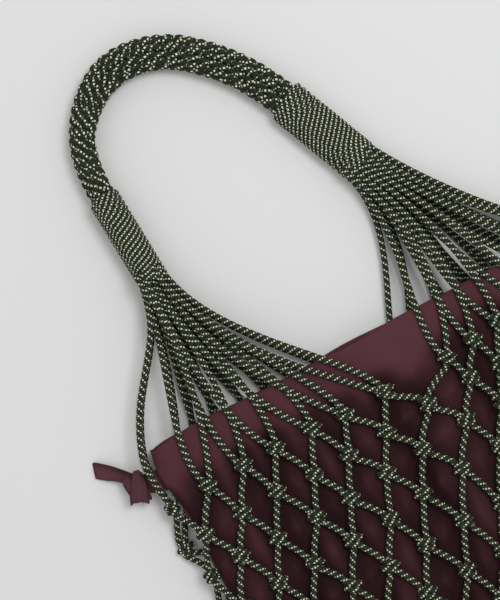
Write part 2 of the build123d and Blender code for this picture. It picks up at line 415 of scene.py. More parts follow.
def is_side(index):
    """Whether a half-mesh index stands at the net's left or right edge."""
    return index % side_index == 0


# The pull of the fans on the first rows: (X, shift) of the first row's knots
fan_pull = [(-208, 4), (-176, 4), (-144, 2), (-80, -5), (-48, -8), (-16, -6),
            (16, 13.6), (48, 5), (80, -5.6), (144, -4), (208, 0)]
fan_pull_by_row = [1.0, 0.6, 0.3, 0.1]
# The net lies askew: the rows rise to the right. Each row's rise, and the X where it starts and ends
row_rise = [(7, 20, 80), (9.5, -70, 40), (12, -100, 30), (12, -110, 30), (5.5, -110, 0), (1, -110, 0)]
# The left edge hangs lower
edge_drop = 6.0
edge_drop_reach = 14.0
# The side knots stand out from the pouch, those of the first row a little further
first_side_knot_x = 204.0
side_knot_x = 201.0
# The knots of the back lean out beside the pouch, and follow the front's rises only in part
back_lean = 14.0
back_lean_reach = 8.0
back_lean_drop = 0.6
back_pull = 13.0
back_rise_share = 0.7
bottom_knot_z = 7.0


def eased(t):
    """From 0 to 1 with a soft start and end."""
    return t * t * (3 - 2 * t)


def lay(x, row):
    """How far a front knot lies from its even place."""
    shift = rise = 0.0
    if row <= len(fan_pull_by_row):
        xs, shifts = zip(*fan_pull)
        shift = float(np.interp(x, xs, shifts)) * fan_pull_by_row[row - 1]
    if row <= len(row_rise):
        height, start, end = row_rise[row - 1]
        t = min(1.0, max(0.0, (x - start) / (end - start)))
        rise = height * eased(t)
        rise -= edge_drop * exp(-(x + half_net_width) / edge_drop_reach)
    return shift, rise


def knot_place(index, row):
    """The place of a knot: half-mesh indices count from the left side over the front and back."""
    index = index % strands_around
    y = -first_row_depth - (row - 1) * row_pitch
    if is_side(index):
        x = first_side_knot_x if row == 1 else side_knot_x
        x = -x if index == 0 else x
        _, rise = lay(x, row)
        return np.array([x, y + rise, pouch_middle_z])
    on_front = index < side_index
    x = -half_net_width + (index if on_front else strands_around - index) * half_mesh
    shift, rise = lay(x, row)
    z = front_cord_z if on_front else back_cord_z
    if not on_front:
        outward = back_lean * exp(-(half_net_width - half_mesh - abs(x)) / back_lean_reach)
        rise -= back_lean_drop * outward
        shift = copysign(outward, x)
        if row <= len(fan_pull_by_row):
            inside_edge = min(1.0, (half_net_width - abs(x)) / mesh_width)
            shift -= back_pull * fan_pull_by_row[row - 1] * inside_edge
        rise *= back_rise_share
    if row == row_count:
        z = bottom_knot_z
    return np.array([x + shift, y + rise, z])


jitter_sizes = (1.3, 1.1)
jitter = {}
for row in range(1, row_count + 1):
    for index in range(strands_around):
        strays = [random.uniform(-size, size) for size in jitter_sizes]
        jitter[index, row] = np.array([*strays, 0])


def knot_centre(index, row):
    """Where a knot lies, with its own small stray."""
    index = index % strands_around
    return knot_place(index, row) + jitter[index, row]


# The strands of a knot: from its middle to where they leave it, and from its middle sideways or upward
knot_leg = 5.5
strands_apart = 2.1
strands_stacked = 2.6
wider_outside = 1.25
closer_inside = 0.8


def strand_points(cord, row):
    """The three points of a cord at a knot: above it, in it and below it."""
    index, side = cord_knot(cord, row)
    centre = knot_centre(index, row)
    on_front = cord < side_index
    stacked = strands_stacked if on_front else -strands_stacked
    if is_side(index):
        offset = np.array([0, 0, stacked])
    else:
        offset = np.array([(side if on_front else -side) * strands_apart, 0, 0])
        if row == row_count:
            offset[2] = stacked
    up = np.array([0, knot_leg, 0])
    outside = offset * wider_outside
    return [centre + outside + up, centre + offset * closer_inside, centre + outside - up]


cord_bow = 0.06  # of a stretch between two knots, to its width
front_sag = 0.5
cut_end_stray = 2.0
cut_end_shares = (0.3, 0.45)  # of its length: straight on, and in its bent tip


def net_cord_line(cord):
    """One cord of the net from its first knot to its cut end."""
    points = strand_points(cord, 1)[1:]
    for row in range(2, row_count + 1):
        arriving = strand_points(cord, row)
        leaving = points[-1]
        middle = (leaving + arriving[0]) / 2
        bow = np.array([(arriving[0][0] - leaving[0]) * cord_bow, 0, 0])
        if middle[2] > pouch_middle_z:
            bow[2] = -front_sag
        points.append(middle + bow)
        points += arriving
    points[-1] = points[-1] + np.array([0, -cut_end_length * cut_end_shares[0], 0])
    stray = random.uniform(-cut_end_stray, cut_end_stray)
    points.append(points[-1] + np.array([stray, -cut_end_length * cut_end_shares[1], 0]))
    return smooth_line(points)


net_lines = [net_cord_line(cord) for cord in range(strands_around)]
for pair in range(strands_around // 2):
    cords = BraidedCords()
    cords.add(net_lines[2 * pair])
    cords.add(net_lines[2 * pair + 1])
    cords.finish(f"net_cords_{pair + 1:02d}", [f"net_cord_pair_{pair + 1:02d}"])


# ---------- knots

loop_diameter = 4.5
loop_direction = radians(-28)  # of the loops on the front, from +X
loops_apart = 2.3  # from the knot's middle
# How far the loops reach sideways and up, at the front, at the sides, at the back and in the last row
front_loop_reach = 5.2
side_loop_reach = 4.2
front_loop_height = 3.5
side_loop_height = 5.0
back_loop_height = 2.3
bottom_loop_height = 4.6


def add_loop(cords, centre, direction, reach, height):
    """One turn of cord round the strands of a knot."""
    angle = np.linspace(0, TURN, 24, endpoint=False)[:, None]
    along = np.array([cos(direction), sin(direction), 0])
    cords.add(centre + np.cos(angle) * along * reach + np.sin(angle) * upward * height,
              loop_diameter, closed=True)


def add_knot(cords, index, row):
    """A knot: two turns of cord, side by side, drawn tight across the strands."""
    centre = knot_centre(index, row)
    turn = loop_direction + random.uniform(-0.2, 0.2)
    reach = front_loop_reach
    height = front_loop_height
    if is_side(index):
        turn = random.uniform(-0.15, 0.15)
        reach = side_loop_reach
        height = side_loop_height
    elif row == row_count:
        height = bottom_loop_height
    elif centre[2] < pouch_middle_z:
        turn = -turn
        height = back_loop_height
    across = np.array([-sin(turn), cos(turn), 0]) * loops_apart
    add_loop(cords, centre + across, turn + random.uniform(-0.15, 0.15), reach, height)
    add_loop(cords, centre - across, turn + random.uniform(-0.1, 0.25), reach - 0.3, height - 0.2)


for row in range(1, row_count + 1):
    cords = BraidedCords()
    if row == row_count:
        indices = range(1, side_index, 2)
        node = "bottom_knots"
    else:
        indices = range(0 if row % 2 == 1 else 1, strands_around, 2)
        node = f"knot_row_{row:02d}"
    for index in indices:
        add_knot(cords, index, row)
    cords.finish(node + "_loops", [node])


# ---------- fans


def wrap_axes(line):
    """A wrap's lower end, the ways along and across it, and its length."""
    low = np.array([*line[0], 0.0])
    along = np.array([*line[1], 0.0]) - low
    length = np.linalg.norm(along)
    along /= length
    return low, along, np.array([along[1], -along[0], 0.0]), length


fan_pitch = 4.5
start_inside_wrap = 8.0
left_columns = 5
right_columns = 7
# How far the cords keep to their wrap's direction, as a share of the way to their knots
left_reach = 0.36
right_reach = 0.42
# The outermost cord of the left fan, down the pouch's left side
outermost_bends = [(-156.5, 77.0), (-190.0, 30.5), (-205.5, -3.0), (-206.5, -27.0)]
# The outermost cord of the right fan leaves its wrap and arrives at its knot along these ways
right_leaving = (31.0, -54.0, 0)
right_arriving = (-59.0, 33.0)
# The two cords of a knot come in side by side, further apart where they run steeply
apart_least = 4.0
apart_gain = 9.0
steep_from = 0.7  # of a cord's way, along Y
entry_apart = 1.8
entry_short = 2.0
entry_share = (0.24, 0.22, 0.2)  # of the way, where a cord turns to its knot
back_entry_z = 2.6


def sideways(cord):
    """How far a fan cord is pushed along the mouth by its neighbours: the left fan's front cords and
    the right fan's back ones a little, the left fan's back cords more from cord to cord."""
    if cord < meshes_across:
        return min(0.0, cord - 8.0)
    if cord < side_index:
        return 0.0
    if cord < side_index + meshes_across:
        return -8.0
    return max(-6.0, 30.0 - 13.0 * (strands_around - 1 - cord))


def fan_start(order, columns, line, middle_z, on_front):
    """Where a fan cord comes out of the wrap, counted from the left."""
    low, along, across, _ = wrap_axes(line)
    column = order * columns // meshes_across
    first_in_column = ceil(column * meshes_across / columns)
    level = order - first_in_column + 0.5
    place = low + across * (column - (columns - 1) / 2) * fan_pitch
    place[2] = middle_z + (level if on_front else -level) * fan_pitch
    return place, along


def fan_line(cord, order, columns, line, middle_z, reach):
    """One cord from the wrap down to its knot. Reach is how far it keeps to the wrap's direction."""
    on_front = cord < side_index
    index, side = cord_knot(cord, 1)
    side = side if on_front else -side
    start, along = fan_start(order, columns, line, middle_z, on_front)
    end = knot_centre(index, 1)
    run = end - start
    distance = np.linalg.norm(run)
    inside = start + along * start_inside_wrap
    outward = front_cord_z if on_front else back_cord_z + 1.0
    if is_side(index):
        end = strand_points(cord, 1)[1]
        lift = 0.4 * (outward - end[2])
        if index % strands_around == 0:
            bends = [(x, y, outward) for x, y in outermost_bends]
            bends[-1] = (*outermost_bends[-1], end[2] + 1.4 * lift)
            return smooth_line([inside, start, *bends, end], 16)
        leave = start + np.array(right_leaving)
        arrive = end + np.array([*right_arriving, 2 * lift])
    else:
        steepness = (abs(run[1]) / distance - steep_from) / (1 - steep_from)
        apart = apart_least + apart_gain * max(0.0, steepness)
        apart_direction = np.array([-run[1], run[0], 0]) / hypot(run[0], run[1]) * side
        end = end + apart_direction * entry_apart - run / distance * entry_short
        leave = start - along * reach * distance + np.array([0.04 * run[0], 0, 0])
        leave += apart_direction * apart * 0.5
        arrive = end - run * np.array(entry_share)
        arrive += apart_direction * apart * random.uniform(0.75, 1.25)
        arrive[2] = end[2] + 1.5 if on_front else back_entry_z
        arrive[0] += sideways(cord)
    curve = bezier_line(start, leave, arrive, end)
    curve[:, 2] = np.maximum(curve[:, 2], cord_diameter / 2)
    return np.vstack([inside, curve])


def make_fan(name, first_cord, columns, line, middle_z, reach):
    """The thirteen cords of one fan, as one piece."""
    cords = BraidedCords()
    on_front = first_cord < side_index
    for step in range(meshes_across):
        order = step if on_front else meshes_across - 1 - step
        route = fan_line(first_cord + step, order, columns, line, middle_z, reach)
        cords.add(route)
    piece = cords.finish(name + "_cords", [name], body=None)
    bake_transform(piece)


left_place = (left_columns, left_wrap_line, left_wrap_size[1] / 2, left_reach)
right_place = (right_columns, right_wrap_line, right_wrap_size[1] / 2, right_reach)
make_fan("left_fan_front", 0, *left_place)
make_fan("left_fan_back", side_index + meshes_across, *left_place)
make_fan("right_fan_front", meshes_across, *right_place)
make_fan("right_fan_back", side_index, *right_place)


# ---------- wraps and the cords inside them

wrap_cord_diameter = 4.4
wrap_pitch = 3.6
points_per_turn = 40
wrap_picks = 9
wrap_cream_every = 3
wrap_pick_step = 0.76
cream_row_slant = 37  # degrees, of the cream rows from turn to turn
# How the turns lie from square across the wrap, in degrees, and the stretch they turn in at each end
middle_tilt = -18.0
end_stretch = 20.0
left_end_tilts = (-24.0, 8.0)
right_end_tilts = (6.0, 6.0)
# The lengthwise crease, as a place across the wrap, with its width and depth
crease_place = 0.55
crease_width = 0.12
crease_depth = 0.9
bend_past_crease = 5.0
# The first and last turns are tucked in
tuck_share = 0.3
tuck_angle = 0.5
bundle_cords = 10
bundle_inset = 7.2


def turn_slope(climb, length, end_tilts):
    """How steeply the turns lie at each place along a wrap: they turn towards its two end tilts."""
    slopes = np.tan(np.radians([end_tilts[0], middle_tilt, end_tilts[1]]))
    places = [0.0, end_stretch, length - end_stretch, length]
    return np.interp(climb, places, [slopes[0], slopes[1], slopes[1], slopes[2]])


def wrap_line(line, size, middle_z, end_tilts):
    """The whipping's cord: tilted turns round the oval bundle, with a lengthwise crease."""
    low, along, across, length = wrap_axes(line)
    half_width = (size[0] - wrap_cord_diameter) / 2
    half_height = (size[1] - wrap_cord_diameter) / 2
    turns = length / wrap_pitch
    angle = np.arange(0, turns * TURN, TURN / points_per_turn)[:, None]
    reach = np.cos(angle)
    crease = bell((reach + crease_place) / crease_width) * (np.sin(angle) > 0)
    bend = np.maximum(0, -crease_place - reach) * bend_past_crease
    from_ends = np.exp(-angle / tuck_angle) + np.exp((angle - angle[-1]) / tuck_angle)
    tucked = 1 - tuck_share * from_ends
    climb = angle / TURN * wrap_pitch
    slide = climb + half_width * turn_slope(climb, length, end_tilts) * reach - bend
    rise = np.sin(angle) * (half_height * tucked - crease_depth * crease)
    return low + along * slide + across * reach * half_width * tucked + upward * (middle_z + rise)


def make_wrap(name, line, size, end_tilts):
    """One wrap's turns of cord, and the bundle of cords inside it."""
    middle_z = size[1] / 2
    cords = BraidedCords(wrap_picks, wrap_cream_every)
    turns = wrap_line(line, size, middle_z, end_tilts)
    # The cream rows of neighbouring turns line up, each row set on by this much from turn to turn
    row_offset = wrap_pitch / tan(radians(cream_row_slant))
    half_way = len(turns) // 2
    one_turn = turns[half_way:half_way + points_per_turn + 1]
    between_rows = np.linalg.norm(np.diff(one_turn, axis=0), axis=1).sum() - row_offset
    rows = round(between_rows / (2 * wrap_cream_every * wrap_pick_step))
    step = between_rows / rows / (2 * wrap_cream_every)
    cords.add(turns, wrap_cord_diameter, step=step)
    cords.finish(name + "_turns", [name], "handle")
    low, along, across, length = wrap_axes(line)
    bundle = BraidedCords()
    for number in range(bundle_cords):
        angle = TURN * number / bundle_cords
        offset = across * cos(angle) * (size[0] / 2 - bundle_inset)
        offset = offset + upward * (middle_z + sin(angle) * (size[1] / 2 - bundle_inset))
        bundle.add([low + offset, low + offset + along * length])
    node = name.replace("wrap", "gathered_cords")
    bundle.finish(node + "_bundle", [node], "handle")


make_wrap("left_wrap", left_wrap_line, left_wrap_size, left_end_tilts)
make_wrap("right_wrap", right_wrap_line, right_wrap_size, right_end_tilts)


# ---------- the plaited grip

stitches_around = 6
course_pitch = 7.6
handle_cord_diameter = 5.1
points_per_stitch = 24
inside_wraps = 6  # how far the grip's ends run inside the wraps
stitch_reach = 0.7  # of a stitch to either side, in courses
stitch_slant = 0.07
stitch_depth = 2.6
# The grip is narrow and high at its left end, and widens over a stretch, in shares of its length
widens_from = 0.22
widens_over = 0.2
narrow_half_width = 7.8
narrow_half_height = 10.0
narrow_middle_z = 12.6
width_gain = 3.4
height_loss = 1.6


def handle_route():
    """The route of the grip's middle line, the same as the CAD model's."""
    left_low, left_way, _, left_length = wrap_axes(left_wrap_line)
    right_low, right_way, _, right_length = wrap_axes(right_wrap_line)
    left_top = left_low + left_way * left_length
    right_top = right_low + right_way * right_length
    route = [left_top - left_way * inside_wraps, left_top + left_way * left_lead]
    route += [np.array([x, y, 0.0]) for x, y in grip_corners]
    route += [right_top + right_way * right_lead, right_top - right_way * inside_wraps]
    return rounded_route(route)


def grip_line():
    """One cord that runs round and round the grip in interlooped stitches."""
    route = handle_route()
    lengths = lengths_along(route)
    total = lengths[-1]
    courses = total / course_pitch
    turn = np.arange(0, courses * stitches_around * TURN, TURN / points_per_stitch)
    share = turn / (stitches_around * TURN) / courses
    around = turn / stitches_around + stitch_slant * np.sin(2 * turn) * TURN / stitches_around
    place = np.clip(share * total + stitch_reach * course_pitch * np.cos(turn), 0, total)
    inward = stitch_depth * (1 + np.cos(2 * turn))
    way = unit(points_at(place + 2, lengths, route) - points_at(place - 2, lengths, route))
    across = np.column_stack([way[:, 1], -way[:, 0], np.zeros(len(way))])
    widening = np.clip((share - widens_from) / widens_over, 0, 1)
    half_width = narrow_half_width + width_gain * widening
    half_height = narrow_half_height - height_loss * widening
    centre = points_at(place, lengths, route)
    centre[:, 2] = np.sin(around) * (half_height - inward) + narrow_middle_z - height_loss * widening
    return centre + across * (np.cos(around) * (half_width - inward))[:, None]


grip = grip_line()
halves = np.array_split(np.arange(len(grip)), 2)
for side_name, part in zip(("left", "right"), halves):
    cords = BraidedCords()
    last = min(part[-1] + 2, len(grip))
    cords.add(grip[part[0]:last], handle_cord_diameter)
    cords.finish(f"handle_braid_{side_name}_half", ["handle_braid"], "handle")


# ---------- pouch

ribbon_y = -25.0
ribbon_width = 12.0
ribbon_thickness = 0.7
ribbon_spread = 2.0  # of each run of the drawstring from the pouch's middle
ribbon_ends = (-185, 189.7)
hem_half_width = 11.0
hem_thickness = 0.5
hem_spread = 1.2
hem_ends = (-197, 188)
seam_size = (3.0, 1.6)
seam_step = 2.5
pouch_kind = (pouch_cloth, "pouch_fabric", "bag")
drawstring_kind = (ribbon_cloth, "drawstring_fabric", "drawstring")


def make_cloth(name, points, quads, nodes, kind, painted_shading=None):
    """A piece of cloth of one kind: its material and its body."""
    material, slot, body = kind
    marks = np.zeros(len(quads), int)
    return make_piece(name, points, [(quads, marks)], [material], nodes, body, painted_shading)


def grid_faces(columns, rows, offset=0):
    """Quads of a grid whose points run along the columns first."""
    number = offset + np.arange(columns * rows).reshape(rows, columns)
    return np.stack([number[:-1, :-1], number[:-1, 1:], number[1:, 1:], number[1:, :-1]], -1).reshape(-1, 4)


def closed_sheet(upper, lower, columns, rows):
    """Points and quads of a thin closed sheet from its upper and lower grids."""
    count = columns * rows
    top = grid_faces(columns, rows)
    bottom = grid_faces(columns, rows, count)[:, ::-1]
    number = np.arange(count).reshape(rows, columns)
    rim = np.concatenate([number[0, :-1], number[:-1, -1], number[-1, :0:-1], number[:0:-1, 0]])
    following = np.roll(rim, -1)
    edge = np.stack([rim, rim + count, following + count, following], -1)
    return np.vstack([upper, lower]), np.vstack([top, bottom, edge])


# The net's cords at the back and at the front, to find the nearest one
cord_trees = [KDTree(sum(len(line) for line in net_lines)) for _ in range(2)]
for line in net_lines:
    for x, y, z in line:
        cord_trees[int(z > pouch_middle_z)].insert((x, y, 0), 0)
for tree in cord_trees:
    tree.balance()


fold_waves = ((24, 0.55), (37, 0.9), (58, 1.1), (95, 0.9))  # the length and height of each
fold_drift = 0.22
fold_sharpness = 1.4
mouth_fold_share = 0.25
fold_deepening = 75


def fold_height(x, y, seed):
    """Soft folds that run down the bag, gentler towards the mouth."""
    waves = random.Random(seed)
    height = np.zeros_like(x)
    for length, size in fold_waves:
        drift = waves.uniform(-fold_drift, fold_drift)
        start = waves.uniform(0, TURN)
        wander = 5 * np.sin(y / waves.uniform(38, 60) + start)
        phase = TURN * (x + drift * y + wander) / length + start
        height += size * (1 - 2 * np.abs(np.sin(phase / 2)) ** fold_sharpness)
    deepening = np.clip(-y / fold_deepening, 0, 1)
    return height * (mouth_fold_share + (1 - mouth_fold_share) * deepening)


def mouth_edge(x, on_front):
    """How far the mouth's edge strays from a straight line."""
    start = 0.4 if on_front else 2.1
    corner = 3.5 * np.exp(-(x + pouch_half_width) / 9)
    return 0.9 * np.sin(x / 31 + start) + 0.5 * np.sin(x / 12.5 + 2 * start) - corner


swell_size = 5.5
swell_y = -22
swell_reach = 22


def slit_swell(y):
    """How far the left edge swells out where the drawstring leaves the pouch."""
    return swell_size * bell((y - swell_y) / swell_reach)


front_fold_seed = 5
back_fold_seed = 9
panel_columns = 158
panel_rows = 142
panel_rise = 4.4  # of each panel from the pouch's middle, under the cords
cell_swell = 2.7  # of the cloth between the cords
cell_reach = 9.0
# The cloth's colour is painted darker under the net, as painted shade, and lighter on its folds and far from
# the cords, as painted light
open_painted_light = 0.85
net_painted_shade = 0.15
fold_painted_highlight = 0.085
cell_painted_light = 0.012
rim_width = 12  # over which a panel comes down to its side and bottom seams
flattest_rim = 0.006
channel_rise = 3.9
lip_depth = 9
lip_drop = 1.8
slit_reach_x = 140


def panel_grids(on_front):
    """The upper and lower faces of one panel, in rows from the bottom seam to the mouth, and the painted
    light and shade of its colour at each point.
    """
    u, v = np.meshgrid(np.linspace(-1, 1, panel_columns), np.linspace(1, 0, panel_rows))
    x = u * pouch_half_width
    y = -v * pouch_depth + mouth_edge(x, on_front) * np.clip(1 - v * 8, 0, 1)
    tree = cord_trees[int(on_front)]
    near = np.array([tree.find((a, b, 0))[2] for a, b in zip(x.ravel(), y.ravel())]).reshape(x.shape)
    bulge = cell_swell * (1 - bell(near / cell_reach))
    folds = fold_height(x, y, front_fold_seed if on_front else back_fold_seed)
    rise = panel_rise + bulge + folds
    # Painted light and shade: the colour is darker near the cords and under the net, lighter on the folds,
    # in the middle of each cell and far from the cords.
    open_cloth = eased(np.clip((near - 9) / 14, 0, 1))
    covered = np.clip(net_painted_shade + fold_painted_highlight * folds + cell_painted_light * (near - 6), 0.04, 0.5)
    painted_shading = covered + (open_painted_light - covered) * open_cloth
    edge = np.clip((np.abs(x) - pouch_half_width + rim_width) / rim_width, 0, 1)
    bottom = np.clip((-y - pouch_depth + rim_width) / rim_width, 0, 1)
    rise *= np.sqrt(np.clip(1 - edge**2, flattest_rim, 1)) * np.sqrt(np.clip(1 - bottom**2, flattest_rim, 1))
    channel = np.clip((hem_half_width - np.abs(y - ribbon_y)) / 4, 0, 1)
    rise = np.maximum(rise, channel_rise * channel * np.where(x < 0, 1, 1 - edge))
    lip = np.clip(1 + y / lip_depth, 0, 1)
    rise -= lip_drop * lip * lip * (1 - edge)
    rise = np.maximum(rise, 0.05)
    near_slit = np.clip((-x - slit_reach_x) / (pouch_half_width - slit_reach_x), 0, 1)
    x = x - slit_swell(y) * near_slit**2
    outer = np.column_stack([x.ravel(), y.ravel(), pouch_middle_z + rise.ravel()])
    inner = outer - upward * cloth_thickness
    inner[:, 2] = np.maximum(inner[:, 2], pouch_middle_z + 0.02)
    outer[:, 2] = np.maximum(outer[:, 2], inner[:, 2] + 0.3)
    if not on_front:
        mirror = 2 * pouch_middle_z
        outer[:, 2], inner[:, 2] = mirror - inner[:, 2], mirror - outer[:, 2]
    return outer, inner, np.tile(painted_shading.ravel(), 2)


def make_panel(name, on_front):
    """The front or back panel of the pouch."""
    upper, lower, painted_shading = panel_grids(on_front)
    points, quads = closed_sheet(upper, lower, panel_columns, panel_rows)
    return make_cloth(name + "_cloth", points, quads, [name], pouch_kind, painted_shading)


front_panel = make_panel("pouch_front_panel", True)
back_panel = make_panel("pouch_back_panel", False)


def strip(name, ends, half_width, height, thickness, nodes, kind):
    """A narrow band of cloth along the drawstring's channel, with a slight wave."""
    left, right = ends
    columns = max(8, round((right - left) / 3))
    rows = 7
    u, v = np.meshgrid(np.linspace(0, 1, columns), np.linspace(0, 1, rows))
    x = left + (right - left) * u
    y = ribbon_y - half_width + 2 * half_width * v + 0.3 * np.sin(x / 9.0)
    z = pouch_middle_z + height + 0.2 * np.sin(x / 17.0)
    upper = np.column_stack([x.ravel(), y.ravel(), z.ravel() + thickness / 2])
    points, quads = closed_sheet(upper, upper - upward * thickness, columns, rows)
    make_cloth(name, points, quads, nodes, kind)


for side, way in (("front", 1), ("back", -1)):
    strip(f"{side}_casing_hem", hem_ends, hem_half_width, way * hem_spread, hem_thickness,
          [f"pouch_{side}_casing"], pouch_kind)
for side, way in (("front", 1), ("back", -1)):
    strip(f"drawstring_{side}_ribbon", ribbon_ends, ribbon_width / 2, way * ribbon_spread,
          ribbon_thickness, [f"drawstring_{side}_run"], drawstring_kind)


def ring_faces(rings, around, turned=False):
    """Quads of a tube's skin, whose points run round it, ring after ring."""
    number = np.arange(rings * around).reshape(rings, around)
    following = np.roll(number, -1, axis=1)
    corners = [number[:-1], following[:-1], following[1:], number[1:]]
    if turned:
        corners = corners[:1] + corners[:0:-1]
    return np.stack(corners, -1).reshape(-1, 4)


def gathered(parts):
    """The points and quads of several meshes as one mesh."""
    counts = np.cumsum([0] + [len(points) for points, _ in parts])
    quads = [quads + count for (_, quads), count in zip(parts, counts)]
    return np.vstack([points for points, _ in parts]), np.vstack(quads)


def flattened(angle):
    """Where the points of a flattened ring lie across it, from -1 to 1."""
    return np.sign(np.cos(angle)) * np.abs(np.cos(angle)) ** 0.5


def tube_along(line, width, thickness, around=10, skew=0.0):
    """Points and quads of a closed flattened tube along a line, lying flat. Skew slants its far end."""
    line = np.asarray(line, float)
    half = np.broadcast_to(np.asarray(width) / 2, len(line))
    way = unit(np.gradient(line, axis=0))
    side = unit(np.cross(upward, way))
    up = np.cross(way, side)
    angle = np.linspace(0, TURN, around, endpoint=False)
    flat = flattened(angle)
    skin = (
        line[:, None, :] + side[:, None, :] * (flat[None, :] * half[:, None])[..., None]
        + up[:, None, :] * (np.sin(angle) * thickness / 2)[None, :, None]
    )
    count = len(line)
    slant = skew * np.linspace(0, 1, count) ** 3 * half
    skin = skin + way[:, None, :] * (flat[None, :] * slant[:, None])[..., None]
    ends = []
    for first, turn in ((0, -1), ((count - 1) * around, 1)):
        ring = np.arange(first, first + around)
        for k in range(1, around // 2):
            ends.append([ring[k], ring[k - 1], ring[-k], ring[-k - 1]][::turn])
    return skin.reshape(-1, 3), np.vstack([ring_faces(count, around), np.array(ends)])


def side_seam(x_side, low, high):
    """A side seam's line between two heights. It follows the slit's swell on the left."""
    y = np.arange(low, high, seam_step)
    x = x_side * (pouch_half_width - 0.6 + 0.3 * np.sin(y / 6))
    if x_side < 0:
        x = x - slit_swell(y)
    return np.column_stack([x, y, np.full(len(y), pouch_middle_z) + 0.2 * np.sin(y / 11)])


def make_seam(name, lines, nodes):
    """A seam of one or more stretches, as one piece."""
    points, quads = gathered([tube_along(line, *seam_size) for line in lines])
    make_cloth(name, points, quads, nodes, pouch_kind)


slit_low = ribbon_y - hem_half_width
slit_high = ribbon_y + hem_half_width
make_seam("left_seam_edge", [side_seam(-1, -pouch_depth, slit_low), side_seam(-1, slit_high, -1)],
          ["pouch_left_seam"])
make_seam("right_seam_edge", [side_seam(1, -pouch_depth, -1)], ["pouch_right_seam"])
bottom_x = np.arange(-pouch_half_width, pouch_half_width, seam_step)
bottom_line = np.column_stack([bottom_x, -pouch_depth + 0.5 + 0.3 * np.sin(bottom_x / 7),
                               np.full(len(bottom_x), pouch_middle_z)])
make_seam("bottom_seam_edge", [bottom_line], ["pouch_bottom_seam"])


# ---------- drawstring

turn_x = 189.5
turn_reach = 2.0
turn_count = 14
turn_angle = np.linspace(-pi / 2, pi / 2, turn_count)
turn_line = np.column_stack([turn_x + turn_reach * np.cos(turn_angle), np.full(turn_count, ribbon_y),
                             pouch_middle_z + ribbon_spread * np.sin(turn_angle)])


def upright_band(line, width, thickness):
    """Points and quads of a band whose width runs along Y."""
    way = unit(np.gradient(line, axis=0))
    side = np.array([0, 1.0, 0])
    out = np.cross(way, side)
    corners = [(1, 1), (-1, 1), (-1, -1), (1, -1)]
    skin = np.stack([line + side * a * width / 2 + out * b * thickness / 2 for a, b in corners], 1)
    count = len(line)
    first_end = [[0, 1, 2, 3]]
    last_end = [[4 * count - 1, 4 * count - 2, 4 * count - 3, 4 * count - 4]]
    return skin.reshape(-1, 3), np.vstack([ring_faces(count, 4, turned=True), first_end, last_end])


turn_points, turn_quads = upright_band(turn_line, ribbon_width, ribbon_thickness)
make_cloth("drawstring_turn_ribbon", turn_points, turn_quads, ["drawstring_turn"], drawstring_kind)


def spline_points(route):
    """Points along the smooth spline that has the route's points as its control points."""
    curve = bpy.data.curves.new("route", "CURVE")
    curve.dimensions = "3D"
    spline = curve.splines.new("NURBS")
    spline.points.add(len(route) - 1)
    for point, place in zip(spline.points, route):
        point.co = (*place, 1)
    spline.order_u = 3
    spline.use_endpoint_u = True
    spline.resolution_u = 12
    carrier = add_object("route", curve)
    mesh = bpy.data.meshes.new_from_object(carrier)
    points = np.array([v.co for v in mesh.vertices])
    bpy.data.objects.remove(carrier)
    bpy.data.curves.remove(curve)
    bpy.data.meshes.remove(mesh)
    return points


knot_x, knot_y, knot_z = -218.0, -22.0, 12.8
# The knot stands upright in the view, which is turned against the bag's own axes
knot_up = np.array([0.467, 0.884, 0.0])
knot_right = np.array([0.884, -0.467, 0.0])
tail_points_around = 16
tail_width = 11.6
tail_thickness = 1.3
tail_slant = -0.4  # of the cut end
pinch = 2.4  # of the tails where they come out of the knot
pinch_x = -224


def make_tail(name, run_z, out_z, end_z, swing, drop):
    """One end of the drawstring, from inside its channel through the knot to the cut end. It takes
    its heights in the channel, out of the knot and at the end, how far the end swings along X, and
    how far it drops below the channel's middle."""
    route = [(-178, ribbon_y, run_z), (-190, ribbon_y - drop, run_z),
             (-202, ribbon_y + 0.5 - drop, knot_z + 1), (-214, ribbon_y + 3 - drop / 2, knot_z),
             (-221.5, -15.5, out_z + 2), (-229, -7.5, out_z - 1),
             (-236 + swing, -1.5, (out_z + end_z) / 2), (-243.5 + swing, 4.0, end_z)]
    line = spline_points(route)
    width = tail_width - pinch * bell((line[:, 0] - pinch_x) / 9)
    points, quads = tube_along(line, width, tail_thickness, tail_points_around, tail_slant)
    angle = np.linspace(0, TURN, tail_points_around, endpoint=False)
    # Painted shade: darker along the folded upper edge and where the tail comes out of the knot.
    painted_fold_shade = 0.85 - 0.6 * np.clip((-flattened(angle) - 0.2) / 0.5, 0, 1)
    shade = painted_fold_shade[None, :] - 0.3 * bell((line[:, :1] + 227) / 5)
    piece = make_cloth(name + "_ribbon", points, quads, [name], drawstring_kind, shade.ravel())
    return piece, line


